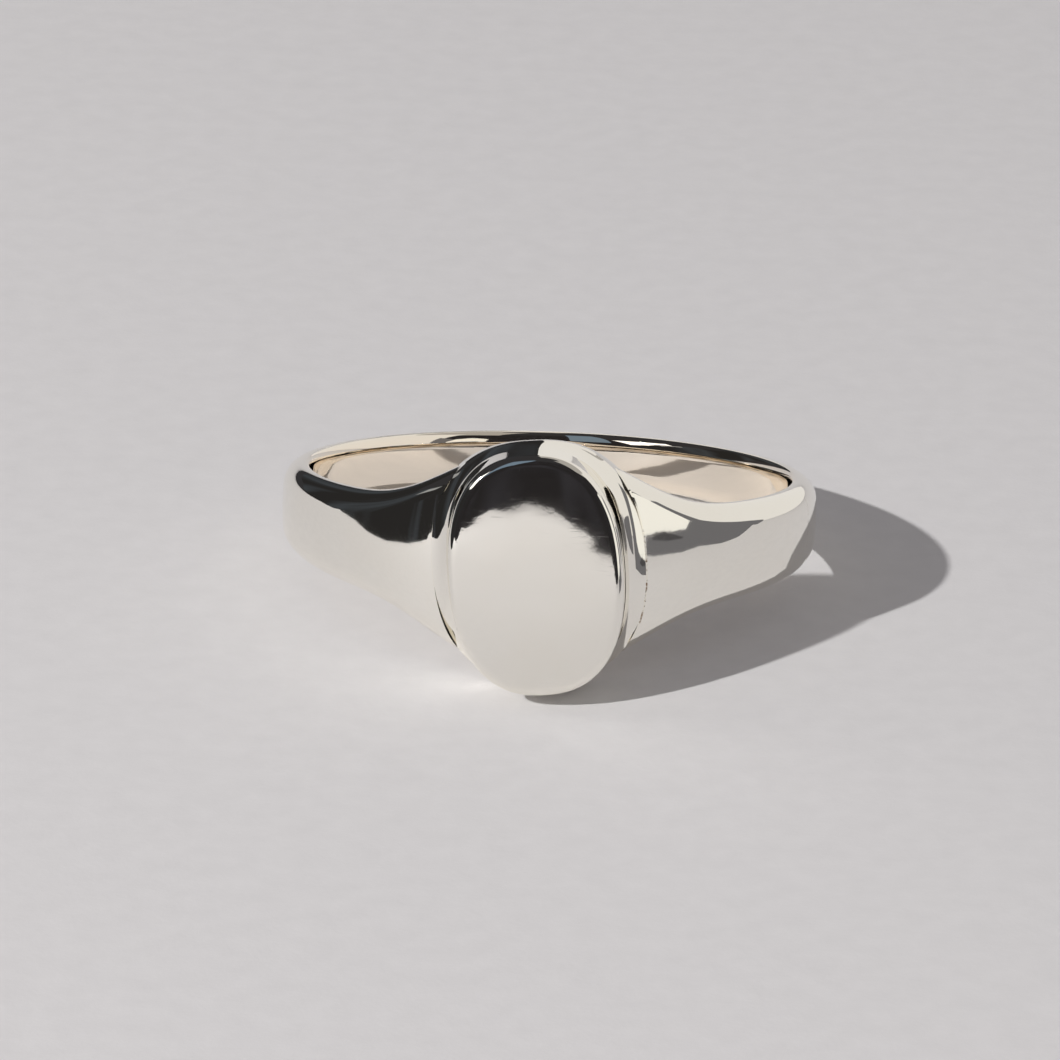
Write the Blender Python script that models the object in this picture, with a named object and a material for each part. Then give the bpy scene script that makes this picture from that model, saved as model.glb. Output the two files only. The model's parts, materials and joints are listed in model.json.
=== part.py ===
"""A sterling silver signet ring: an oval face and head, two shoulders and a shank, soldered together.

The ring is modelled around its finger hole: the hole's axis is Z, and the face looks along -Y. An empty
then lays it on its side, as it rests on a table: on the lower edge of its head and on the back of its
shank. Lengths are in metres.
"""

import math

import bmesh
import bpy
from mathutils import Matrix

# The finger hole and the band around it.
BORE_RADIUS = 0.00875
SHOULDER_THICKNESS = 0.00120
SHANK_THICKNESS = 0.00088
CROWN = 0.00010  # how far the band's outer face stands out at its middle
OUTER_EDGE_RADIUS = 0.00040
BORE_EDGE_RADIUS = 0.00015

# Half the band's height along the finger: least at the back, most beside the head.
BACK_HALF_HEIGHT = 0.00095
SIDE_RISE = 0.00094
SHOULDER_RISE = 0.00216
SHOULDER_SPREAD = math.radians(26.5)
SHOULDER_POWER = 2.5

# The oval head. Its face is a superellipse, fuller than an ellipse.
FACE_HALF_WIDTH = 0.00310
FACE_HALF_HEIGHT = 0.00435
OVAL_POWER = 2.4
HEAD_THICKNESS = 0.00300  # from the hole's wall to the face, at the middle of the head
HEAD_LEAN = math.radians(6)  # the oval leans a little off the hole's axis
FACE_EDGE_RADIUS = 0.00030
PLATE_THICKNESS = 0.00090
FILLET_RADIUS = 0.00112  # the hollow curve from the head's wall out to the shoulders
FILLET_TURN = math.radians(68)
FOOT_GROWTH = 0.00004  # how far the head spreads along the finger, where no shoulder meets it

# A soldered joint: a film of solder, and on each side of it a slit that keeps the meshes apart.
FILM = 0.00006
SLIT = 0.00002
JOINT = FILM + 2 * SLIT

# Where the shoulders end and the shank starts, measured around the hole from the middle of the face.
SHOULDER_START = math.radians(6)  # inside the head, which cuts it back
SHANK_START = math.radians(75)

# How far the cutters reach past the silver.
CUTTER_FRONT = -0.001  # under the face, so in front of it
HOLE_CUTTER_REACH = 0.010

# How finely curves are cut into straight pieces.
SWEEP_STEP = math.radians(2.5)
OVAL_POINTS = 96
HOLE_POINTS = 144
CROWN_STEPS = 8
OUTER_EDGE_STEPS = 5
BORE_EDGE_STEPS = 2
FACE_EDGE_STEPS = 6
WALL_STEPS = 12
SHARP_ANGLE = math.radians(35)
TILT_ROUNDS = 6  # each one brings the lean closer to where both edges touch

SILVER = ((0.940, 0.925, 0.880), 0.08)
SOLDER = ((0.860, 0.810, 0.700), 0.22)


def clear_scene():
    for item in list(bpy.data.objects):
        bpy.data.objects.remove(item, do_unlink=True)


def metal(name, look):
    colour, roughness = look
    made = bpy.data.materials.new(name)
    made.use_nodes = True
    shader = made.node_tree.nodes["Principled BSDF"]
    shader.inputs["Base Color"].default_value = (*colour, 1.0)
    shader.inputs["Metallic"].default_value = 1.0
    shader.inputs["Roughness"].default_value = roughness
    return made


def add_object(name, rings, material=None):
    """A closed solid through rings of points, each ring with as many points as the others."""
    shape = bmesh.new()
    made = [[shape.verts.new(point) for point in ring] for ring in rings]
    count = len(made[0])
    for near, far in zip(made, made[1:]):
        for i in range(count):
            j = (i + 1) % count
            shape.faces.new((near[i], near[j], far[j], far[i]))
    shape.faces.new(made[0])
    shape.faces.new(made[-1])
    bmesh.ops.recalc_face_normals(shape, faces=shape.faces)
    mesh = bpy.data.meshes.new(name)
    shape.to_mesh(mesh)
    shape.free()
    mesh.shade_smooth()
    mesh.set_sharp_from_angle(angle=SHARP_ANGLE)
    item = bpy.data.objects.new(name, mesh)
    bpy.context.scene.collection.objects.link(item)
    if material:
        mesh.materials.append(material)
    else:
        item.hide_render = True
        item.display_type = "WIRE"
    return item


def cut(item, tool, operation="DIFFERENCE"):
    step = item.modifiers.new(f"{operation} {tool.name}", "BOOLEAN")
    step.operation = operation
    step.solver = "EXACT"
    step.object = tool


def band_half_height(turn):
    """Half the band's height at this angle around the hole, from the middle of the face."""
    turn = abs(turn)
    side = SIDE_RISE * (1 + math.cos(turn)) / 2
    shoulder = SHOULDER_RISE * math.exp(-((turn / SHOULDER_SPREAD) ** SHOULDER_POWER))
    return BACK_HALF_HEIGHT + side + shoulder


def band_thickness(turn):
    """It eases from the shoulders' thickness to the shank's."""
    share = (1 + math.cos(turn)) / 2
    return SHANK_THICKNESS + (SHOULDER_THICKNESS - SHANK_THICKNESS) * share**2


def arc(centre_out, centre_up, radius, start, end, steps):
    """Points of a quarter turn in a band section, as (distance from the axis, height)."""
    turns = [start + (end - start) * i / steps for i in range(steps + 1)]
    return [(centre_out + radius * math.cos(t), centre_up + radius * math.sin(t)) for t in turns]


def band_section(turn):
    """The outline of the band cut by a plane through the hole's axis."""
    half = band_half_height(turn)
    outer = BORE_RADIUS + band_thickness(turn)
    edge = outer - OUTER_EDGE_RADIUS
    lip = BORE_RADIUS + BORE_EDGE_RADIUS
    edge_up = half - OUTER_EDGE_RADIUS
    lip_up = half - BORE_EDGE_RADIUS
    quarter = math.pi / 2
    points = arc(lip, -lip_up, BORE_EDGE_RADIUS, -2 * quarter, -quarter, BORE_EDGE_STEPS)
    points += arc(edge, -edge_up, OUTER_EDGE_RADIUS, -quarter, 0, OUTER_EDGE_STEPS)
    for i in range(1, CROWN_STEPS):
        across = 2 * i / CROWN_STEPS - 1
        points.append((outer + CROWN * (1 - across**2), across * edge_up))
    points += arc(edge, edge_up, OUTER_EDGE_RADIUS, 0, quarter, OUTER_EDGE_STEPS)
    points += arc(lip, lip_up, BORE_EDGE_RADIUS, quarter, 2 * quarter, BORE_EDGE_STEPS)
    return points


def band_piece(name, start, end, material=None):
    """The band between two angles around the hole. Angles grow towards +X."""
    steps = max(1, round(abs(end - start) / SWEEP_STEP))
    rings = []
    for i in range(steps + 1):
        turn = start + (end - start) * i / steps
        section = band_section(math.remainder(turn, math.tau))
        rings.append([(out * math.sin(turn), -out * math.cos(turn), up) for out, up in section])
    return add_object(name, rings, material)


def oval(half_width, half_height, depth):
    """An outline of the head, parallel to the face and this far under it."""
    y = depth - BORE_RADIUS - HEAD_THICKNESS
    points = []
    for i in range(OVAL_POINTS):
        turn = math.tau * i / OVAL_POINTS
        across = math.copysign(abs(math.cos(turn)) ** (2 / OVAL_POWER), math.cos(turn))
        along = math.copysign(abs(math.sin(turn)) ** (2 / OVAL_POWER), math.sin(turn))
        x, z = half_width * across, half_height * along
        points.append(
            (
                x * math.cos(HEAD_LEAN) - z * math.sin(HEAD_LEAN),
                y,
                x * math.sin(HEAD_LEAN) + z * math.cos(HEAD_LEAN),
            )
        )
    return points


def fillet_width():
    return FILLET_RADIUS * (1 - math.cos(FILLET_TURN))


def foot_depth():
    """How far under the face the shoulders' outer face meets the foot of the head."""
    foot = FACE_HALF_WIDTH + fillet_width()
    outer = BORE_RADIUS + SHOULDER_THICKNESS + CROWN
    return BORE_RADIUS + HEAD_THICKNESS - math.sqrt(outer**2 - foot**2)


def wall_growth(depth):
    """How far the head's side wall stands out beyond the face's outline, this far under the face."""
    fillet_height = FILLET_RADIUS * math.sin(FILLET_TURN)
    drop = min(max(depth - foot_depth() + fillet_height, 0), fillet_height)
    return FILLET_RADIUS - math.sqrt(FILLET_RADIUS**2 - drop**2)


def head_outline(depth):
    growth = wall_growth(depth)
    along = FOOT_GROWTH * growth / fillet_width()
    return oval(FACE_HALF_WIDTH + growth, FACE_HALF_HEIGHT + along, depth)


def face_plate(material):
    """The oval plate that a crest would be engraved on, with its rounded edge."""
    rings = []
    for i in range(FACE_EDGE_STEPS + 1):
        turn = math.pi / 2 * i / FACE_EDGE_STEPS
        inset = FACE_EDGE_RADIUS * (1 - math.sin(turn))
        depth = FACE_EDGE_RADIUS * (1 - math.cos(turn))
        rings.append(oval(FACE_HALF_WIDTH - inset, FACE_HALF_HEIGHT - inset, depth))
    rings.append(head_outline(PLATE_THICKNESS))
    return add_object("face_plate", rings, material)


def face_seam(material):
    top = PLATE_THICKNESS + SLIT
    return add_object("face_seam", [head_outline(top), head_outline(top + FILM)], material)


def head_body(material, hole):
    """The block under the face plate. It spreads out to the shoulders, and the finger hole hollows it."""
    top = PLATE_THICKNESS + JOINT
    wall = foot_depth() - top
    rings = [head_outline(top + wall * i / WALL_STEPS) for i in range(WALL_STEPS + 1)]
    rings.append(head_outline(HEAD_THICKNESS + BORE_RADIUS / 3))
    body = add_object("head_body", rings, material)
    cut(body, hole)
    return body


def foot_prism(name, spread):
    """A cutter as wide as the foot of the head, from in front of the face to inside the hole."""
    half_width = FACE_HALF_WIDTH + fillet_width() + spread
    half_height = FACE_HALF_HEIGHT + FOOT_GROWTH + spread
    front = oval(half_width, half_height, CUTTER_FRONT)
    back = oval(half_width, half_height, HEAD_THICKNESS + BORE_RADIUS / 2)
    return add_object(name, [front, back])


def finger_hole():
    turns = [math.tau * i / HOLE_POINTS for i in range(HOLE_POINTS)]
    circle = [(BORE_RADIUS * math.cos(turn), BORE_RADIUS * math.sin(turn)) for turn in turns]
    rings = [[(x, y, z) for x, y in circle] for z in (-HOLE_CUTTER_REACH, HOLE_CUTTER_REACH)]
    return add_object("finger_hole", rings)


def lay_on_its_side(lie, pieces):
    """Leans the ring until the head's lower edge and the shank's back both touch the table, which is
    at height 0, and centres it over the origin."""
    bpy.context.view_layer.update()
    graph = bpy.context.evaluated_depsgraph_get()
    points = [vertex.co.copy() for piece in pieces for vertex in piece.evaluated_get(graph).data.vertices]
    tilt = 0.0
    for _ in range(TILT_ROUNDS):
        turned = [Matrix.Rotation(-tilt, 3, "X") @ point for point in points]
        front = min((point for point in turned if point.y < 0), key=lambda point: point.z)
        back = min((point for point in turned if point.y > 0), key=lambda point: point.z)
        tilt += (back.z - front.z) / (back.y - front.y)
    turned = [Matrix.Rotation(-tilt, 3, "X") @ point for point in points]
    low = [min(point[axis] for point in turned) for axis in range(3)]
    high = [max(point[axis] for point in turned) for axis in range(3)]
    middle = Matrix.Translation((-(low[0] + high[0]) / 2, -(low[1] + high[1]) / 2, -low[2]))
    lie.matrix_world = middle @ Matrix.Rotation(-tilt, 4, "X")


def build():
    clear_scene()
    silver = metal("sterling_silver", SILVER)
    solder = metal("silver_solder", SOLDER)
    hole = finger_hole()
    solder_inner = foot_prism("solder_inner_cutter", SLIT)
    solder_outer = foot_prism("solder_outer_cutter", SLIT + FILM)
    shoulder_end = foot_prism("shoulder_end_cutter", JOINT)

    pieces = [face_plate(silver), face_seam(solder), head_body(silver, hole)]
    middle = BORE_RADIUS + SHANK_THICKNESS / 2
    for side, sign in (("right", 1), ("left", -1)):
        shoulder = band_piece(f"shoulder_{side}", sign * SHOULDER_START, sign * SHANK_START, silver)
        cut(shoulder, shoulder_end)
        seam = band_piece(f"head_seam_{side}", sign * SHOULDER_START, sign * SHANK_START, solder)
        cut(seam, solder_outer, "INTERSECT")
        cut(seam, solder_inner)
        film_start = SHANK_START + SLIT / middle
        film_end = film_start + FILM / middle
        shank_seam = band_piece(f"shank_seam_{side}", sign * film_start, sign * film_end, solder)
        pieces += [shoulder, seam, shank_seam]
    shank_from = SHANK_START + JOINT / middle
    pieces.append(band_piece("shank", shank_from, math.tau - shank_from, silver))

    lie = bpy.data.objects.new("ring_on_its_side", None)
    bpy.context.scene.collection.objects.link(lie)
    for piece in [*pieces, hole, solder_inner, solder_outer, shoulder_end]:
        piece.parent = lie
    lay_on_its_side(lie, pieces)


build()
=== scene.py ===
"""A polished sterling silver signet ring lying on its side on pale paper.

Every piece is drawn as the part is, around the finger hole: the hole's axis is Z and the face looks along
-Y. Each mesh is then turned and moved to where the ring lies. Lengths are in metres.
"""

import json
import math

import bmesh
import bpy
from mathutils import Matrix, Vector


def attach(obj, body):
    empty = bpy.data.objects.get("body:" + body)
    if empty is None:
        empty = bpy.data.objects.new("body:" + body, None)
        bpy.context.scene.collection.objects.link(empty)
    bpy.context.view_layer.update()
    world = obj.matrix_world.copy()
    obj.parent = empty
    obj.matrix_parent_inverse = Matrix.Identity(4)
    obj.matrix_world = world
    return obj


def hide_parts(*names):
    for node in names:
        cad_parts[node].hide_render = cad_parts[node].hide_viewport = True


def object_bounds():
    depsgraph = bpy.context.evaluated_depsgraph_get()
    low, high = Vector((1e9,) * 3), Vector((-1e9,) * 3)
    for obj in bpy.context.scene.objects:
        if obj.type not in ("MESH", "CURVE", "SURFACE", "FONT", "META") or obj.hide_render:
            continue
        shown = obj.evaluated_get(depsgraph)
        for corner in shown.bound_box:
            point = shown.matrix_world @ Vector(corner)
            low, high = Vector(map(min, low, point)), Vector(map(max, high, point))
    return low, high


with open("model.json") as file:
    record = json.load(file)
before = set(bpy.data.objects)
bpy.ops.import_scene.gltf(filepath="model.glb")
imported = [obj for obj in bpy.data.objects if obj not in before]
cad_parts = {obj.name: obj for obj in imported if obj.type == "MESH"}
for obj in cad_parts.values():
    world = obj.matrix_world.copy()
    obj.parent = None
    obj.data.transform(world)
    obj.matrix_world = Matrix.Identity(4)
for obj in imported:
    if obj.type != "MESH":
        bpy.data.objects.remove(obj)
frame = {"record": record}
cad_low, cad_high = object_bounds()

MM = 0.001

# ---------------------------------------------------------------- sizes of the ring, as in the part

BORE_RADIUS = 8.75 * MM
SHOULDER_THICKNESS = 1.20 * MM
SHANK_THICKNESS = 0.857 * MM  # a little thinner than the part's, so that the crown stays inside its box
CROWN = 0.098 * MM  # how far the band's outer face stands out at its middle, once polished
BACK_EDGE_ROUNDING = (0.66 * MM, 0.50 * MM)  # of the outer edge, along the finger and through the band
SHOULDER_EDGE_ROUNDING = (0.70 * MM, 0.86 * MM)
BORE_EDGE_ROUNDING = (0.60 * MM, 0.20 * MM)
BACK_HALF_HEIGHT = 0.95 * MM
SIDE_RISE = 0.94 * MM
SHOULDER_RISE = 2.16 * MM
SHOULDER_SPREAD = math.radians(26.5)
SHOULDER_POWER = 2.5
FACE_HALF_WIDTH = 3.10 * MM
FACE_HALF_HEIGHT = 4.35 * MM
OVAL_POWER = 2.4
HEAD_THICKNESS = 3.00 * MM
HEAD_LEAN = math.radians(6)
FACE_EDGE_RADIUS = 0.30 * MM
FACE_DOME = 0.03 * MM  # hand polishing leaves the face this much lower at its edge than at its middle
PLATE_THICKNESS = 0.90 * MM
FILLET_RADIUS = 1.12 * MM
FILLET_TURN = math.radians(68)
FOOT_GROWTH = 0.04 * MM
SHOULDER_START = math.radians(6)
SHANK_START = math.radians(75)

# The solder as it shows: a film drawn thin between the silver pieces, filed flush. The right joint of the
# head was left as it was soldered, so its film is three times as wide.
FACE_FILM = 0.02 * MM
HEAD_FILM = {"left": 0.02 * MM, "right": 0.06 * MM}
SHANK_FILM = 0.02 * MM

# How finely the curves are drawn. A mirror finish shows every flat, so the steps are small.
OVAL_POINTS = 256
EDGE_STEPS = 10
FLAT_STEPS = 24
SHOULDER_ROWS = 120
SHANK_ROWS = 320
WALL_ROWS = 28
FACE_ROWS = 40
BORE_ROWS = 14
FINE_OVAL = 4096
FOOT_SEARCHES = 40
SUPPORT = 0.02 * MM  # a row this close to an edge keeps the flat beside it flat

SHARP_ANGLE = math.radians(40)

# The head's edge at the hole is rounded only past the shoulders, which end between these two heights.
SHOULDERS_END = (3.1 * MM, 3.8 * MM)

# The sizes that the finishing left, each from what made it.
MOP_WANDER = 1.9 * MM  # how far apart the swells lie that a polishing mop leaves
MOP_DEPTH = 0.006 * MM
EMERY_MARK = 0.42 * MM  # drawn coarser than real marks, which are too fine to show
EMERY_DEPTH = 0.00042 * MM
HAIR_LENGTH = 0.9 * MM
HAIR_SLIMNESS = 14.0  # a hairline 0.06 mm wide, drawn coarser than a real one so that it shows
HAIR_DEPTH = 0.00003 * MM
PIT_SPACING = 1.5 * MM
PIT_EDGE = (0.02, 0.045)  # a pit's bottom and rim, as shares of the spacing
PIT_DEPTH = 0.010 * MM
UNPITTED = 0.80  # the share of the spaces that hold no pit
HAZE_PATCH = 3.2 * MM
# How far from the hole's axis the painted warmth of the inside is full, and where it has faded out.
WORN_INSIDE = (BORE_RADIUS + 0.03 * MM, BORE_RADIUS + 0.30 * MM)
SOLDER_PIT = 0.11 * MM
SOLDER_PATCH = 0.6 * MM
SOLDER_PIT_DEPTH = 0.008 * MM
CREASE_STARTS = (2.0 * MM, 2.6 * MM)  # to the right of the ring's middle
CREASE_ENDS = (4.6 * MM, 5.8 * MM)  # above the paper
PAPER_MOTTLE = 1.1 * MM
PAPER_TOOTH = 0.22 * MM
PAPER_TOOTH_DEPTH = 0.006 * MM
CLOTH_FOLD = 15 * MM

# ---------------------------------------------------------------- where the ring lies

mounts = {mount["name"]: mount for mount in frame["record"]["mounts"]}
hole_axis = Vector(mounts["finger_hole"]["axis"]).normalized()
hole_centre = Vector(mounts["finger_hole"]["pos_m"])
ring_back = -Vector(mounts["face"]["axis"]).normalized()
ring_right = ring_back.cross(hole_axis)
LIE = Matrix((ring_right, ring_back, hole_axis)).transposed().to_4x4()
LIE.translation = hole_centre


# ---------------------------------------------------------------- nodes

def paint(code):
    """An sRGB hex colour as the linear colour that shaders take."""
    parts = [int(code[i : i + 2], 16) / 255 for i in (1, 3, 5)]
    return (*[p / 12.92 if p <= 0.04045 else ((p + 0.055) / 1.055) ** 2.4 for p in parts], 1.0)


def add_node(tree, kind, inputs=None, **settings):
    """Adds a node with its own settings. Each input is given by name or number, as a value or as the node
    or socket that feeds it."""
    node = tree.nodes.new(kind)
    for name, value in settings.items():
        setattr(node, name, value)
    for socket, value in (inputs or {}).items():
        if isinstance(value, bpy.types.Node):
            value = value.outputs[0]
        if isinstance(value, bpy.types.NodeSocket):
            tree.links.new(value, node.inputs[socket])
        else:
            node.inputs[socket].default_value = value
    return node


def new_material(name):
    """An empty material with its output, ready for its nodes."""
    made = bpy.data.materials.new(name)
    made.use_nodes = True
    made.node_tree.nodes.clear()
    return made, made.node_tree, add_node(made.node_tree, "ShaderNodeOutputMaterial")


# ---------------------------------------------------------------- materials

def polished_silver():
    """Sterling silver, filed, hand-polished and lightly worn. It mirrors what stands around it, a little
    warmer, and the hand work shows as gently wandering reflections, hairline scratches and stray pits."""
    material, tree, output = new_material("hand_polished_sterling_silver")
    place = add_node(tree, "ShaderNodeTexCoord").outputs["Object"]
    noise = "ShaderNodeTexNoise"

    # Three heights, by the size of what leaves them: the polishing mop, the emery before it, and grit.
    mop = add_node(tree, noise, {"Vector": place, "Scale": 1 / MOP_WANDER, "Detail": 1.0})
    emery = add_node(tree, noise, {"Vector": place, "Scale": 1 / EMERY_MARK, "Detail": 2.0})
    slim = (1.0, HAIR_SLIMNESS, HAIR_SLIMNESS)
    stretched = {"Vector": place, "Rotation": (0.4, 0.3, 0.9), "Scale": slim}
    stretched = add_node(tree, "ShaderNodeMapping", stretched)
    hairs = add_node(tree, noise, {"Vector": stretched, "Scale": 1 / HAIR_LENGTH, "Detail": 3.0})
    hairline = {"Value": hairs.outputs["Fac"], "From Min": 0.62, "From Max": 0.72}
    hairline = add_node(tree, "ShaderNodeMapRange", hairline)

    # Pits about 0.1 mm across stand in a few of the cells of an even scatter.
    cells = add_node(tree, "ShaderNodeTexVoronoi", {"Vector": place, "Scale": 1 / PIT_SPACING})
    bottom, rim = PIT_EDGE
    near = {"Value": cells.outputs["Distance"], "From Min": bottom, "From Max": rim}
    near = add_node(tree, "ShaderNodeMapRange", {**near, "To Min": 1.0, "To Max": 0.0})
    chosen = add_node(tree, "ShaderNodeSeparateColor", {"Color": cells.outputs["Color"]})
    chosen = {0: chosen.outputs["Red"], 1: UNPITTED}
    chosen = add_node(tree, "ShaderNodeMath", chosen, operation="GREATER_THAN")
    pit = add_node(tree, "ShaderNodeMath", {0: near, 1: chosen}, operation="MULTIPLY")

    relief = None
    for height, depth, cut_in in (
        (mop.outputs["Fac"], MOP_DEPTH, False),
        (emery.outputs["Fac"], EMERY_DEPTH, False),
        (hairline, HAIR_DEPTH, True),
        (pit, PIT_DEPTH, True),
    ):
        bump = {"Height": height, "Strength": 1.0, "Distance": depth}
        if relief:
            bump["Normal"] = relief
        relief = add_node(tree, "ShaderNodeBump", bump, invert=cut_in)

    # A breath of tarnish: the tone warms by a few parts in a hundred, and darkens in the pits.
    haze = add_node(tree, noise, {"Vector": place, "Scale": 1 / HAZE_PATCH, "Detail": 4.0})
    tarnish = {0: haze.outputs["Fac"], 6: paint("#fbf9f3"), 7: paint("#f8f4ea")}
    tarnish = add_node(tree, "ShaderNodeMix", tarnish, data_type="RGBA")
    # The inside of the hole is painted a little yellower: a painted reflection of the warm light that bounces
    # between its silver walls.
    hole = mounts["finger_hole"]
    from_axis = {0: place, 1: hole["pos_m"]}
    from_axis = add_node(tree, "ShaderNodeVectorMath", from_axis, operation="SUBTRACT")
    from_axis = {0: from_axis, 1: hole["axis"]}
    from_axis = add_node(tree, "ShaderNodeVectorMath", from_axis, operation="CROSS_PRODUCT")
    from_axis = add_node(tree, "ShaderNodeVectorMath", {0: from_axis}, operation="LENGTH")
    # Painted warmth: full at the first radius, faded out by the second.
    worn, polished = WORN_INSIDE
    inside = {"Value": from_axis.outputs["Value"], "From Min": worn, "From Max": polished}
    inside = add_node(tree, "ShaderNodeMapRange", {**inside, "To Min": 1.0, "To Max": 0.0})
    tone = {0: inside, 6: tarnish.outputs[2], 7: paint("#fbf1e2")}
    tone = add_node(tree, "ShaderNodeMix", tone, data_type="RGBA")
    tone = {0: pit, 6: tone.outputs[2], 7: paint("#8a7f70")}
    tone = add_node(tree, "ShaderNodeMix", tone, data_type="RGBA")
    gloss = {"Value": haze.outputs["Fac"], "From Min": 0.35, "From Max": 0.75}
    gloss = add_node(tree, "ShaderNodeMapRange", {**gloss, "To Min": 0.018, "To Max": 0.05})
    gloss = add_node(tree, "ShaderNodeMath", {0: hairline, 1: 0.03, 2: gloss}, operation="MULTIPLY_ADD")

    shader = {"Base Color": tone.outputs[2], "Metallic": 1.0, "Roughness": gloss, "Normal": relief}
    shader = add_node(tree, "ShaderNodeBsdfPrincipled", shader)
    tree.links.new(shader.outputs[0], output.inputs["Surface"])
    return material


def silver_solder():
    """Silver solder, filed flush and polished with the ring: a shade yellower than the silver and a little
    duller, so a joint is hardly seen. Where the right joint was not cleaned out, pickle has left it
    brown and pitted."""
    material, tree, output = new_material("filed_silver_solder")
    place = add_node(tree, "ShaderNodeTexCoord").outputs["Object"]
    noise = "ShaderNodeTexNoise"
    pits = add_node(tree, noise, {"Vector": place, "Scale": 1 / SOLDER_PIT, "Detail": 2.0})
    patches = add_node(tree, noise, {"Vector": place, "Scale": 1 / SOLDER_PATCH, "Detail": 2.0})
    pitted = {0: pits.outputs["Fac"], 1: patches.outputs["Fac"]}
    pitted = add_node(tree, "ShaderNodeMath", pitted, operation="ADD")
    pitted = add_node(
        tree, "ShaderNodeMapRange", {"Value": pitted, "From Min": 0.98, "From Max": 1.15}
    )
    where = add_node(tree, "ShaderNodeSeparateXYZ", {"Vector": place})
    start, full = CREASE_STARTS
    right = {"Value": where.outputs["X"], "From Min": start, "From Max": full}
    right = add_node(tree, "ShaderNodeMapRange", right)
    full, end = CREASE_ENDS
    low = {"Value": where.outputs["Z"], "From Min": full, "From Max": end}
    low = add_node(tree, "ShaderNodeMapRange", {**low, "To Min": 1.0, "To Max": 0.0})
    crease = add_node(tree, "ShaderNodeMath", {0: right, 1: low}, operation="MULTIPLY")
    dirty = add_node(tree, "ShaderNodeMath", {0: crease, 1: pitted}, operation="MULTIPLY")
    tone = {0: dirty, 6: paint("#f9f5ea"), 7: paint("#a38c78")}
    tone = add_node(tree, "ShaderNodeMix", tone, data_type="RGBA")
    gloss = {"Value": dirty, "To Min": 0.06, "To Max": 0.45}
    gloss = add_node(tree, "ShaderNodeMapRange", gloss)
    relief = {"Height": dirty, "Strength": 1.0, "Distance": SOLDER_PIT_DEPTH}
    relief = add_node(tree, "ShaderNodeBump", relief, invert=True)
    shader = {"Base Color": tone.outputs[2], "Metallic": 1.0, "Roughness": gloss, "Normal": relief}
    shader = add_node(tree, "ShaderNodeBsdfPrincipled", shader)
    tree.links.new(shader.outputs[0], output.inputs["Surface"])
    return material


SILVER = polished_silver()
SOLDER = silver_solder()


# ---------------------------------------------------------------- meshes

def finish_piece(name, mesh, material):
    """The piece's object at the origin, smooth but for its real edges, riding where its CAD node is."""
    mesh.name = name
    mesh.shade_smooth()
    mesh.set_sharp_from_angle(angle=SHARP_ANGLE)
    if not mesh.materials:
        mesh.materials.append(material)
    piece = bpy.data.objects.new(f"{name}_polished", mesh)
    bpy.context.scene.collection.objects.link(piece)
    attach(piece, "root")
    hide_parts(name)
    return piece


def skin(rings, poles=()):
    """A closed mesh through rings of points. A pole is the point that closes an end, first then last;
    without one the end is closed by a flat face."""
    shape = bmesh.new()
    made = [[shape.verts.new(point) for point in ring] for ring in rings]
    count = len(made[0])
    for near, far in zip(made, made[1:]):
        for i in range(count):
            j = (i + 1) % count
            shape.faces.new((near[i], near[j], far[j], far[i]))
    for end, pole in zip((made[0], made[-1]), poles or (None, None)):
        if pole is None:
            shape.faces.new(end)
            continue
        tip = shape.verts.new(pole)
        for i in range(count):
            shape.faces.new((end[i], end[(i + 1) % count], tip))
    bmesh.ops.recalc_face_normals(shape, faces=shape.faces)
    mesh = bpy.data.meshes.new("skin")
    shape.to_mesh(mesh)
    shape.free()
    mesh.transform(LIE)
    return mesh


# The band: half its height and its thickness, at an angle around the hole from the middle of the face.

def band_half_height(turn):
    side = SIDE_RISE * (1 + math.cos(turn)) / 2
    shoulder = SHOULDER_RISE * math.exp(-((abs(turn) / SHOULDER_SPREAD) ** SHOULDER_POWER))
    return BACK_HALF_HEIGHT + side + shoulder


def band_thickness(turn):
    share = (1 + math.cos(turn)) / 2
    return SHANK_THICKNESS + (SHOULDER_THICKNESS - SHANK_THICKNESS) * share**2


def section_chain(through):
    """Half a band section, from its lower edge to its upper one: the bore's side where through is 0, and
    the outer side where it is 1. Each point is (through, across, edge_out, edge_up)."""
    facing = 2 * through - 1
    points = []
    for i in range(EDGE_STEPS + 1):
        t = math.pi / 2 * i / EDGE_STEPS
        points.append((through, -1.0, facing * math.sin(t), -math.cos(t)))
    for i in range(1, FLAT_STEPS):
        points.append((through, -math.cos(math.pi * i / FLAT_STEPS), facing, 0.0))
    for i in range(EDGE_STEPS + 1):
        t = math.pi / 2 * (1 - i / EDGE_STEPS)
        points.append((through, 1.0, facing * math.sin(t), math.cos(t)))
    return points


def band_point(turn, through, across, edge_out, edge_up):
    """Where a section point lies, by the same rule as the band tree."""
    share = ((1 + math.cos(turn)) / 2) ** 2
    half = band_half_height(turn)
    along, inward = BORE_EDGE_ROUNDING
    if through:
        ends = zip(BACK_EDGE_ROUNDING, SHOULDER_EDGE_ROUNDING)
        along, inward = (back + (front - back) * share for back, front in ends)
    up = across * (half - along) + along * edge_up
    out = BORE_RADIUS + through * (band_thickness(turn) + CROWN * (1 - (up / half) ** 2))
    out += inward * (1 - 2 * through + edge_out)
    return Vector((out * math.sin(turn), -out * math.cos(turn), up))


def inside_oval(point, half_width, half_height):
    """Below 0 inside the head's oval and above 0 outside it, seen from in front of the face."""
    across = point.x * math.cos(HEAD_LEAN) + point.z * math.sin(HEAD_LEAN)
    along = point.z * math.cos(HEAD_LEAN) - point.x * math.sin(HEAD_LEAN)
    return abs(across / half_width) ** OVAL_POWER + abs(along / half_height) ** OVAL_POWER - 1


def fillet_width():
    return FILLET_RADIUS * (1 - math.cos(FILLET_TURN))


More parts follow.
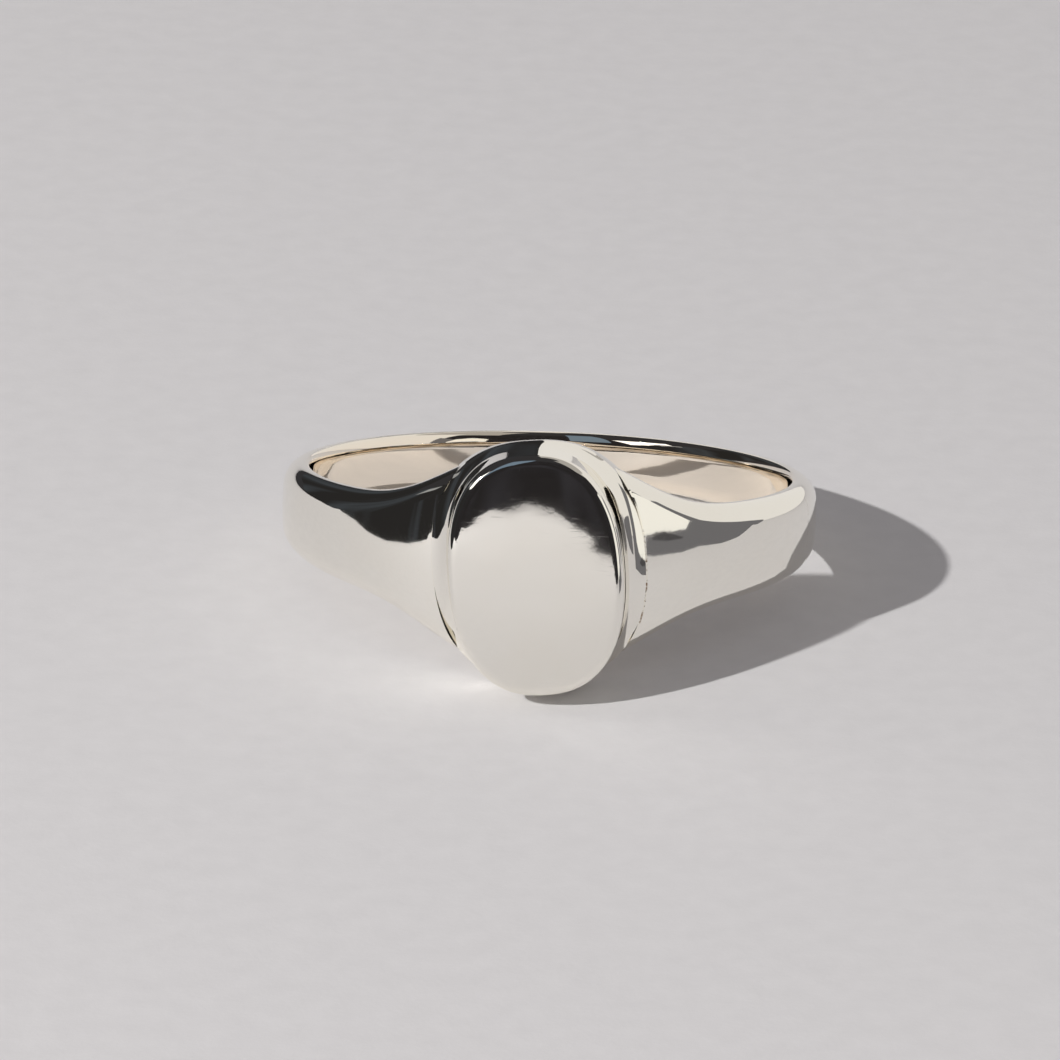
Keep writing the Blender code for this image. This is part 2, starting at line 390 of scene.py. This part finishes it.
def meets_head(side, section, spread):
    """The angle around the hole at which this point of the section meets the foot of the head."""
    half_width = FACE_HALF_WIDTH + fillet_width() + spread
    half_height = FACE_HALF_HEIGHT + FOOT_GROWTH + spread
    near, far = side * SHOULDER_START, side * SHANK_START
    for _ in range(FOOT_SEARCHES):
        middle = (near + far) / 2
        if inside_oval(band_point(middle, *section), half_width, half_height) < 0:
            near = middle
        else:
            far = middle
    return (near + far) / 2


def band_tree():
    """Bends a band blank to shape: each point's turn and place in the section say where it goes."""
    tree = bpy.data.node_groups.new("bent_band", "GeometryNodeTree")
    tree.interface.new_socket("Blank", in_out="INPUT", socket_type="NodeSocketGeometry")
    for name, size in (
        ("Hole radius", BORE_RADIUS),
        ("Shoulder thickness", SHOULDER_THICKNESS),
        ("Shank thickness", SHANK_THICKNESS),
        ("Crown", CROWN),
        ("Back edge along", BACK_EDGE_ROUNDING[0]),
        ("Back edge inward", BACK_EDGE_ROUNDING[1]),
        ("Shoulder edge along", SHOULDER_EDGE_ROUNDING[0]),
        ("Shoulder edge inward", SHOULDER_EDGE_ROUNDING[1]),
        ("Bore edge along", BORE_EDGE_ROUNDING[0]),
        ("Bore edge inward", BORE_EDGE_ROUNDING[1]),
        ("Half height at the back", BACK_HALF_HEIGHT),
        ("Rise at the sides", SIDE_RISE),
        ("Rise at the shoulders", SHOULDER_RISE),
        ("Shoulder spread", SHOULDER_SPREAD),
        ("Shoulder power", SHOULDER_POWER),
    ):
        socket = tree.interface.new_socket(name, in_out="INPUT", socket_type="NodeSocketFloat")
        socket.default_value = size
    tree.interface.new_socket("Metal", in_out="INPUT", socket_type="NodeSocketMaterial")
    tree.interface.new_socket("Band", in_out="OUTPUT", socket_type="NodeSocketGeometry")
    given = add_node(tree, "NodeGroupInput").outputs
    math_node = "ShaderNodeMath"

    turn, through, across, edge_out, edge_up = (
        add_node(tree, "GeometryNodeInputNamedAttribute", {"Name": name}, data_type="FLOAT")
        for name in ("turn", "through", "across", "edge_out", "edge_up")
    )
    cosine = add_node(tree, math_node, {0: turn}, operation="COSINE")
    sine = add_node(tree, math_node, {0: turn}, operation="SINE")
    share = add_node(tree, math_node, {0: cosine, 1: 0.5, 2: 0.5}, operation="MULTIPLY_ADD")

    # Half the height: the back's, and what the sides and the shoulders add.
    angle = add_node(tree, math_node, {0: turn}, operation="ABSOLUTE")
    angle = add_node(tree, math_node, {0: angle, 1: given["Shoulder spread"]}, operation="DIVIDE")
    fall = add_node(tree, math_node, {0: angle, 1: given["Shoulder power"]}, operation="POWER")
    fall = add_node(tree, math_node, {0: fall, 1: -1.0}, operation="MULTIPLY")
    fall = add_node(tree, math_node, {0: fall}, operation="EXPONENT")
    half = add_node(
        tree,
        math_node,
        {0: given["Rise at the sides"], 1: share, 2: given["Half height at the back"]},
        operation="MULTIPLY_ADD",
    )
    half = add_node(
        tree, math_node, {0: given["Rise at the shoulders"], 1: fall, 2: half}, operation="MULTIPLY_ADD"
    )

    # The rounding of the section's edges here, along the finger and through the band.
    squared = add_node(tree, math_node, {0: share, 1: share}, operation="MULTIPLY")
    rounding = []
    for way in ("along", "inward"):
        ends = {0: squared, 2: given[f"Back edge {way}"], 3: given[f"Shoulder edge {way}"]}
        outer = add_node(tree, "ShaderNodeMix", ends, data_type="FLOAT")
        sides = {0: through, 2: given[f"Bore edge {way}"], 3: outer}
        rounding.append(add_node(tree, "ShaderNodeMix", sides, data_type="FLOAT"))
    along, inward = rounding

    # The point's height, then its distance from the hole's axis: the thickness, the crown and the edge.
    core = add_node(tree, math_node, {0: half, 1: along}, operation="SUBTRACT")
    core = add_node(tree, math_node, {0: core, 1: across}, operation="MULTIPLY")
    up = add_node(tree, math_node, {0: along, 1: edge_up, 2: core}, operation="MULTIPLY_ADD")
    growth = {0: given["Shoulder thickness"], 1: given["Shank thickness"]}
    growth = add_node(tree, math_node, growth, operation="SUBTRACT")
    thickness = {0: growth, 1: squared, 2: given["Shank thickness"]}
    thickness = add_node(tree, math_node, thickness, operation="MULTIPLY_ADD")
    bow = add_node(tree, math_node, {0: up, 1: half}, operation="DIVIDE")
    bow = add_node(tree, math_node, {0: bow, 1: bow}, operation="MULTIPLY")
    bow = add_node(tree, math_node, {0: 1.0, 1: bow}, operation="SUBTRACT")
    thickness = add_node(tree, math_node, {0: given["Crown"], 1: bow, 2: thickness}, operation="MULTIPLY_ADD")
    out = {0: thickness, 1: through, 2: given["Hole radius"]}
    out = add_node(tree, math_node, out, operation="MULTIPLY_ADD")
    edge = add_node(tree, math_node, {0: through, 1: -2.0, 2: edge_out}, operation="MULTIPLY_ADD")
    edge = add_node(tree, math_node, {0: edge, 1: 1.0}, operation="ADD")
    out = add_node(tree, math_node, {0: edge, 1: inward, 2: out}, operation="MULTIPLY_ADD")

    x = add_node(tree, math_node, {0: out, 1: sine}, operation="MULTIPLY")
    y = add_node(tree, math_node, {0: out, 1: cosine}, operation="MULTIPLY")
    y = add_node(tree, math_node, {0: y, 1: -1.0}, operation="MULTIPLY")
    place = add_node(tree, "ShaderNodeCombineXYZ", {0: x, 1: y, 2: up})
    bent = add_node(tree, "GeometryNodeSetPosition", {"Geometry": given["Blank"], "Position": place})
    bent = add_node(tree, "GeometryNodeRealizeInstances", {0: bent})
    bent = add_node(tree, "GeometryNodeSetMaterial", {"Geometry": bent, "Material": given["Metal"]})
    add_node(tree, "NodeGroupOutput", {0: bent})
    return tree


BAND_TREE = band_tree()


def band_piece(name, starts, ends, rows, material):
    """A length of the band. Starts and ends give each section point's own first and last turn."""
    loop = section_chain(0.0) + section_chain(1.0)[::-1]
    count = len(loop)
    half = count // 2
    turns, faces = [], []
    for row in range(rows + 1):
        turns += [near + (far - near) * row / rows for near, far in zip(starts, ends)]
    for row in range(rows):
        for i in range(count):
            j = (i + 1) % count
            faces.append((row * count + i, row * count + j, (row + 1) * count + j, (row + 1) * count + i))
    for first in (0, rows * count):
        for i in range(half - 1):
            faces.append((first + i, first + i + 1, first + count - 2 - i, first + count - 1 - i))
    blank = bpy.data.meshes.new(f"{name}_blank")
    blank.from_pydata([(0, 0, 0)] * len(turns), [], faces)
    for column, key in enumerate(("through", "across", "edge_out", "edge_up")):
        layer = blank.attributes.new(key, "FLOAT", "POINT")
        layer.data.foreach_set("value", [point[column] for point in loop] * (rows + 1))
    layer = blank.attributes.new("turn", "FLOAT", "POINT")
    layer.data.foreach_set("value", turns)

    holder = bpy.data.objects.new(f"{name}_blank", blank)
    bpy.context.scene.collection.objects.link(holder)
    bend = holder.modifiers.new("bend", "NODES")
    bend.node_group = BAND_TREE
    for socket in BAND_TREE.interface.items_tree:
        if socket.name == "Metal":
            bend[socket.identifier] = material
    graph = bpy.context.evaluated_depsgraph_get()
    mesh = bpy.data.meshes.new_from_object(holder.evaluated_get(graph), depsgraph=graph)
    holder.modifiers.clear()
    bpy.data.objects.remove(holder)
    shape = bmesh.new()
    shape.from_mesh(mesh)
    bmesh.ops.recalc_face_normals(shape, faces=shape.faces)
    shape.to_mesh(mesh)
    shape.free()
    for key in ("turn", "through", "across", "edge_out", "edge_up"):
        mesh.attributes.remove(mesh.attributes[key])
    mesh.transform(LIE)
    return finish_piece(name, mesh, material)


# The head: outlines parallel to the face, each at its depth under the face.

def even_oval():
    """Points around a superellipse of half sizes 1, as near evenly spaced on the face's outline as can be,
    each as (across, along)."""
    points = []
    for i in range(FINE_OVAL + 1):
        t = math.tau * i / FINE_OVAL
        across = math.copysign(abs(math.cos(t)) ** (2 / OVAL_POWER), math.cos(t))
        along = math.copysign(abs(math.sin(t)) ** (2 / OVAL_POWER), math.sin(t))
        points.append((across, along))
    lengths = [0.0]
    for (a, b), (c, d) in zip(points, points[1:]):
        lengths.append(lengths[-1] + math.hypot((c - a) * FACE_HALF_WIDTH, (d - b) * FACE_HALF_HEIGHT))
    even, at = [], 0
    for i in range(OVAL_POINTS):
        wanted = lengths[-1] * i / OVAL_POINTS
        while lengths[at + 1] < wanted:
            at += 1
        share = (wanted - lengths[at]) / (lengths[at + 1] - lengths[at])
        (a, b), (c, d) = points[at], points[at + 1]
        even.append((a + (c - a) * share, b + (d - b) * share))
    return even


EVEN_OVAL = even_oval()


def oval(half_width, half_height, depth):
    """An outline of the head at this depth under the face. Depth may be one number or one for each point."""
    depths = depth if isinstance(depth, list) else [depth] * OVAL_POINTS
    points = []
    for (across, along), down in zip(EVEN_OVAL, depths):
        x, z = half_width * across, half_height * along
        points.append(
            Vector(
                (
                    x * math.cos(HEAD_LEAN) - z * math.sin(HEAD_LEAN),
                    down - BORE_RADIUS - HEAD_THICKNESS,
                    x * math.sin(HEAD_LEAN) + z * math.cos(HEAD_LEAN),
                )
            )
        )
    return points


def foot_depth():
    foot = FACE_HALF_WIDTH + fillet_width()
    outer = BORE_RADIUS + SHOULDER_THICKNESS + CROWN
    return BORE_RADIUS + HEAD_THICKNESS - math.sqrt(outer**2 - foot**2)


def head_outline(depth):
    fillet_height = FILLET_RADIUS * math.sin(FILLET_TURN)
    drop = min(max(depth - foot_depth() + fillet_height, 0), fillet_height)
    growth = FILLET_RADIUS - math.sqrt(FILLET_RADIUS**2 - drop**2)
    along = FOOT_GROWTH * growth / fillet_width()
    return oval(FACE_HALF_WIDTH + growth, FACE_HALF_HEIGHT + along, depth)


def face_plate():
    flat_width, flat_height = FACE_HALF_WIDTH - FACE_EDGE_RADIUS, FACE_HALF_HEIGHT - FACE_EDGE_RADIUS
    rings = []
    for i in range(1, FACE_ROWS + 1):
        share = i / FACE_ROWS
        rings.append(oval(share * flat_width, share * flat_height, FACE_DOME * share**4))
    # The edge's rounding starts at the slope that the dome has there.
    slope = math.atan(4 * FACE_DOME / flat_width)
    for i in range(1, EDGE_STEPS + 1):
        turn = slope + (math.pi / 2 - slope) * i / EDGE_STEPS
        inset = FACE_EDGE_RADIUS * (1 - math.sin(turn)) / (1 - math.sin(slope))
        depth = FACE_DOME + FACE_EDGE_RADIUS * (math.cos(slope) - math.cos(turn))
        rings.append(oval(FACE_HALF_WIDTH - inset, FACE_HALF_HEIGHT - inset, depth))
    edge = FACE_DOME + FACE_EDGE_RADIUS
    for depth in (edge + SUPPORT, (edge + PLATE_THICKNESS) / 2, PLATE_THICKNESS):
        rings.append(head_outline(depth))
    mesh = skin(rings, (Vector((0, -BORE_RADIUS - HEAD_THICKNESS, 0)), None))
    return finish_piece("face_plate", mesh, SILVER)


def face_seam():
    rings = [head_outline(PLATE_THICKNESS), head_outline(PLATE_THICKNESS + FACE_FILM)]
    return finish_piece("face_seam", skin(rings), SOLDER)


def smooth_step(value, low, high):
    share = min(max((value - low) / (high - low), 0), 1)
    return share * share * (3 - 2 * share)


def head_body():
    top = PLATE_THICKNESS + FACE_FILM
    bottom = foot_depth()
    rings = [head_outline(top + (bottom - top) * i / WALL_ROWS) for i in range(WALL_ROWS + 1)]
    foot = rings[-1]

    def on_bore(point):
        return -math.sqrt(BORE_RADIUS**2 - point.x**2)

    along, inward = BORE_EDGE_ROUNDING
    open_part = [smooth_step(abs(point.z), *SHOULDERS_END) + 0.01 for point in foot]
    rings.append(
        [
            Vector((point.x, (on_bore(point) - inward * part + point.y) / 2, point.z))
            for point, part in zip(foot, open_part)
        ]
    )
    for i in range(EDGE_STEPS + 1):
        t = math.pi / 2 * i / EDGE_STEPS
        ring = []
        for point, part in zip(foot, open_part):
            kept = 1 - along * part * (1 - math.cos(t)) / math.hypot(point.x, point.z)
            inner = Vector((point.x * kept, 0, point.z * kept))
            inner.y = on_bore(inner) - inward * part * (1 - math.sin(t))
            ring.append(inner)
        rings.append(ring)
    rim = rings[-1]
    for i in range(1, BORE_ROWS):
        share = 1 - (0.01 if i == 1 else (i - 1) / (BORE_ROWS - 1) + 0.01)
        ring = []
        for point in rim:
            x, z = point.x * share, point.z * share
            ring.append(Vector((x, -math.sqrt(BORE_RADIUS**2 - x**2), z)))
        rings.append(ring)
    mesh = skin(rings, (None, Vector((0, -BORE_RADIUS, 0))))
    return finish_piece("head_body", mesh, SILVER)


def make_ring():
    loop = section_chain(0.0) + section_chain(1.0)[::-1]
    pieces = [face_plate(), face_seam(), head_body()]
    middle = BORE_RADIUS + SHANK_THICKNESS / 2
    film_turn = SHANK_FILM / middle
    for side_name, side in (("right", 1), ("left", -1)):
        at_foot = [meets_head(side, point, 0.0) for point in loop]
        past_film = [meets_head(side, point, HEAD_FILM[side_name]) for point in loop]
        end = [side * SHANK_START] * len(loop)
        film_end = [side * (SHANK_START + film_turn)] * len(loop)
        pieces.append(
            band_piece(f"head_seam_{side_name}", at_foot, past_film, 1, SOLDER)
        )
        pieces.append(
            band_piece(f"shoulder_{side_name}", past_film, end, SHOULDER_ROWS, SILVER)
        )
        pieces.append(band_piece(f"shank_seam_{side_name}", end, film_end, 1, SOLDER))
    first = SHANK_START + film_turn
    pieces.append(
        band_piece(
            "shank",
            [first] * len(loop),
            [math.tau - first] * len(loop),
            SHANK_ROWS,
            SILVER,
        )
    )
    return pieces


make_ring()

# ---------------------------------------------------------------- camera

VIEW_ELEVATION = math.radians(23.327)
VIEW_TURN = math.radians(-2.239)
VIEW_ROLL = math.radians(1.392)
VIEW_DISTANCE = 298.0 * MM
AIM_RIGHT = -0.692 * MM
AIM_UP = -2.028 * MM
LENS = 277.603
SENSOR = 36.0


def add_camera():
    forward = Vector(
        (
            math.sin(VIEW_TURN) * math.cos(VIEW_ELEVATION),
            math.cos(VIEW_TURN) * math.cos(VIEW_ELEVATION),
            -math.sin(VIEW_ELEVATION),
        )
    )
    level_right = forward.cross(Vector((0, 0, 1))).normalized()
    level_up = level_right.cross(forward)
    right = level_right * math.cos(VIEW_ROLL) + level_up * math.sin(VIEW_ROLL)
    up = right.cross(forward)
    aim = (cad_low + cad_high) / 2 + right * AIM_RIGHT + up * AIM_UP
    camera = bpy.data.objects.new("camera", bpy.data.cameras.new("camera"))
    camera.data.lens = LENS
    camera.data.sensor_width = SENSOR
    camera.data.clip_start, camera.data.clip_end = 0.01, 10.0
    camera.matrix_world = Matrix((right, up, -forward)).transposed().to_4x4()
    camera.location = aim - forward * VIEW_DISTANCE
    bpy.context.scene.collection.objects.link(camera)
    bpy.context.scene.camera = camera


add_camera()

# ---------------------------------------------------------------- floor and light

def stage_sheet(name, corners, material):
    """A flat sheet of the set, which isn't part of the ring."""
    mesh = bpy.data.meshes.new(name)
    mesh.from_pydata(corners, [], [tuple(range(len(corners)))])
    mesh.materials.append(material)
    sheet = bpy.data.objects.new(name, mesh)
    bpy.context.scene.collection.objects.link(sheet)


def paper_material():
    """Uncoated drawing paper: matt, with a faint mottle and the tooth of its fibres."""
    material, tree, output = new_material("uncoated_drawing_paper")
    place = add_node(tree, "ShaderNodeTexCoord").outputs["Object"]
    noise = "ShaderNodeTexNoise"
    mottle = add_node(tree, noise, {"Vector": place, "Scale": 1 / PAPER_MOTTLE, "Detail": 4.0})
    tooth = add_node(tree, noise, {"Vector": place, "Scale": 1 / PAPER_TOOTH, "Detail": 3.0})
    tone = {0: mottle.outputs["Fac"], 6: paint("#dfdedf"), 7: paint("#e9e8e9")}
    tone = add_node(tree, "ShaderNodeMix", tone, data_type="RGBA")
    relief = {"Height": tooth.outputs["Fac"], "Strength": 1.0, "Distance": PAPER_TOOTH_DEPTH}
    relief = add_node(tree, "ShaderNodeBump", relief)
    shader = {"Base Color": tone.outputs[2], "Roughness": 0.9, "Normal": relief}
    shader = add_node(tree, "ShaderNodeBsdfPrincipled", shader)
    tree.links.new(shader.outputs[0], output.inputs["Surface"])
    return material


def glow_material(name, tone, strength, folds):
    """A card or cloth as the polish sees it, glowing in its own tone: an even tone, or one with painted sheen
    in paler streaks where the creases of hung cloth would catch the light.
    """
    material, tree, output = new_material(name)
    glow = add_node(tree, "ShaderNodeEmission", {"Color": paint(tone), "Strength": strength})
    tree.links.new(glow.outputs[0], output.inputs["Surface"])
    if folds is None:
        return material
    # Painted sheen: paler streaks where light would catch the creases of the cloth.
    place = add_node(tree, "ShaderNodeTexCoord").outputs["Object"]
    hang = add_node(tree, "ShaderNodeMapping", {"Vector": place, "Scale": (1.0, 1.0, 0.3)})
    fold = {"Vector": hang, "Scale": 1 / CLOTH_FOLD, "Detail": 2.0}
    fold = add_node(tree, "ShaderNodeTexNoise", fold)
    fold = {"Value": fold.outputs["Fac"], "From Min": 0.48, "From Max": 0.74}
    fold = add_node(tree, "ShaderNodeMapRange", fold)
    shade = {0: fold, 6: paint(tone), 7: paint(folds)}
    shade = add_node(tree, "ShaderNodeMix", shade, data_type="RGBA")
    tree.links.new(shade.outputs[2], glow.inputs["Color"])
    return material


def around(bearing, distance, height=0.0):
    """A point around the ring. Its bearing is in degrees from the middle of the face, more to the right."""
    angle = math.radians(bearing)
    return (distance * math.sin(angle), -distance * math.cos(angle), height)


def screen(name, tone, posts, strength=1.0, folds=None):
    """A glowing card that stands around the ring and shows only in its polish: a painted reflection, lit by
    nothing and lighting nothing. Each post of it is (x, y, lower edge, upper edge), in millimetres."""
    points = []
    for x, y, lower, upper in posts:
        points += [(x * MM, y * MM, lower * MM), (x * MM, y * MM, upper * MM)]
    faces = [(i, i + 2, i + 3, i + 1) for i in range(0, len(points) - 2, 2)]
    mesh = bpy.data.meshes.new(name)
    mesh.from_pydata(points, [], faces)
    mesh.materials.append(glow_material(f"{name}_tone", tone, strength, folds))
    card = bpy.data.objects.new(name, mesh)
    bpy.context.scene.collection.objects.link(card)
    for kind in ("camera", "diffuse", "shadow", "transmission", "volume_scatter"):
        setattr(card, f"visible_{kind}", False)


def far_posts(first, last, distance, lowest, highest, count=9):
    """Posts of a distant screen between two bearings, with its edges at two elevations in degrees."""
    lower, upper = (distance * math.tan(math.radians(angle)) for angle in (lowest, highest))
    posts = []
    for i in range(count):
        x, y, _ = around(first + (last - first) * i / (count - 1), distance)
        posts.append((x, y, lower, upper))
    return posts


REACH = 3.0  # how far the paper runs each way, in metres, so that its edge stays out of the main view
corners = [(-REACH, -REACH, 0), (REACH, -REACH, 0), (REACH, REACH, 0), (-REACH, REACH, 0)]
stage_sheet("floor", corners, paper_material())

# Glowing dark cards, the painted reflection of black cloth to the left and in front, with their lower edge
# where the paper stops showing in the polish.
screen(
    "black_cloth_left",
    "#282727",
    [
        (-3.0, 52.0, 6.0, 34.0),
        (-14.0, 46.0, 7.0, 32.0),
        (-22.0, 36.0, 8.0, 30.0),
        (-28.0, 28.0, 9.0, 28.0),
        (-36.0, 19.0, 4.5, 27.0),
        (-38.0, 10.0, 3.6, 27.0),
        (-37.3, -1.0, 0.0, 27.0),
        (-39.0, -6.6, 0.0, 27.0),
        (-37.4, -11.1, 0.0, 27.0),
        (-38.0, -18.7, 0.0, 27.0),
        (-44.4, -30.2, 0.0, 27.0),
        (-59.3, -52.9, 0.0, 36.0),
        (-86.7, -81.2, 0.0, 50.0),
        (-250.0, -300.0, 0.0, 150.0),
    ],
    folds="#404449",
)
screen(
    "black_cloth_front",
    "#262425",
    [
        (-250.0, -300.0, 0.5, 150.0),
        (-180.0, -300.0, 0.5, 300.0),
        (-60.0, -300.0, 0.8, 340.0),
        (-31.7, -300.0, 1.8, 340.0),
        (-23.9, -300.0, 3.5, 340.0),
        (-16.8, -300.0, 4.3, 340.0),
        (-11.2, -300.0, 5.6, 340.0),
        (-8.8, -300.0, 4.3, 340.0),
        (-6.1, -300.0, 3.1, 340.0),
        (-0.9, -300.0, 1.5, 340.0),
        (8.8, -300.0, 0.2, 340.0),
        (60.0, -300.0, 0.0, 340.0),
        (260.0, -300.0, 0.0, 340.0),
        (430.0, -250.0, 0.0, 400.0),
    ],
    folds="#343337",
)
screen(
    "grey_wall_right",
    "#6c6b6e",
    [
        (51.6, -56.9, 0.0, 4.5),
        (48.7, -41.9, 0.0, 4.8),
        (45.8, -31.1, 0.0, 5.5),
        (45.6, -26.0, 0.0, 24.0),
        (45.3, -21.6, 0.0, 26.0),
        (40.4, -12.3, 0.0, 26.0),
    ],
)
# A small glowing grey card close beside the right shoulder, a painted reflection in the shoulder, which the
# head does not see.
screen(
    "grey_card_near",
    "#6c6b6e",
    [
        (11.3, -8.0, 4.1, 7.2),
        (11.6, -6.9, 3.95, 7.0),
        (12.1, -5.3, 3.9, 6.6),
        (12.5, -3.6, 4.2, 5.9),
        (12.7, -2.6, 4.9, 5.2),
    ],
)
screen(
    "white_card_right",
    "#f4f2ec",
    [
        (40.0, -50.0, 3.6, 30.0),
        (39.5, -33.5, 3.7, 30.0),
        (40.5, -24.5, 3.5, 22.0),
        (41.5, -21.5, 5.0, 12.0),
    ],
)
screen(
    "dark_edge_right",
    "#4a494b",
    [(39.8, -41.0, 3.0, 3.7), (39.3, -33.3, 2.6, 3.8), (40.2, -26.0, 2.5, 2.7)],
)
screen("blue_sky_strip", "#6f8091", far_posts(-30, -8, 250, 24, 60))
screen("ceiling_right", "#a9a5a1", far_posts(35, 185, 330, 42, 75, 15))
screen("light_strip_left", "#9a9b9c", [(-34.0, -3.0, 21.5, 24.0), (-33.0, -14.0, 20.5, 23.0)])
screen("bright_wall", "#e4e1dd", far_posts(62, 183, 320, -1, 48, 15))
screen("window_left", "#ffffff", far_posts(-68, -30, 900, 20, 36), 1.6)

# The sky: a soft fill on the paper, a pale backdrop behind it, and dim where no card stands in the polish.
world = bpy.data.worlds.new("studio")
bpy.context.scene.world = world
world.use_nodes = True
sky = world.node_tree
sky.nodes.clear()
seen = add_node(sky, "ShaderNodeLightPath")
fill = add_node(sky, "ShaderNodeBackground", {"Color": paint("#e9e5e7"), "Strength": 0.33})
backdrop = add_node(sky, "ShaderNodeBackground", {"Color": paint("#c9c8ca"), "Strength": 1.0})
dim = add_node(sky, "ShaderNodeBackground", {"Color": paint("#333234"), "Strength": 1.0})
mixed = add_node(sky, "ShaderNodeMixShader", {0: seen.outputs["Is Camera Ray"], 1: fill, 2: backdrop})
mixed = add_node(sky, "ShaderNodeMixShader", {0: seen.outputs["Is Glossy Ray"], 1: mixed, 2: dim})
add_node(sky, "ShaderNodeOutputWorld", {0: mixed})


def area_light(name, bearing, elevation, distance, size, power, colour):
    """A round lamp that shines on the ring from a bearing and an elevation, in degrees."""
    light = bpy.data.lights.new(name, "AREA")
    light.shape = "DISK"
    light.size = size
    light.energy = power
    light.color = colour[:3]
    lamp = bpy.data.objects.new(name, light)
    flat = distance * math.cos(math.radians(elevation))
    lamp.location = around(bearing, flat, distance * math.sin(math.radians(elevation)))
    lamp.rotation_mode = "QUATERNION"
    lamp.rotation_quaternion = (-lamp.location).to_track_quat("-Z", "Y")
    bpy.context.scene.collection.objects.link(lamp)


KEY_BEARING, KEY_ELEVATION, KEY_DISTANCE = -49.5, 32.3, 0.8
KEY_SIZE, KEY_POWER = 0.02, 5.7
area_light(
    "key_lamp", KEY_BEARING, KEY_ELEVATION, KEY_DISTANCE, KEY_SIZE, KEY_POWER, paint("#fffdfb")
)
bpy.context.scene.view_settings.view_transform = "Standard"
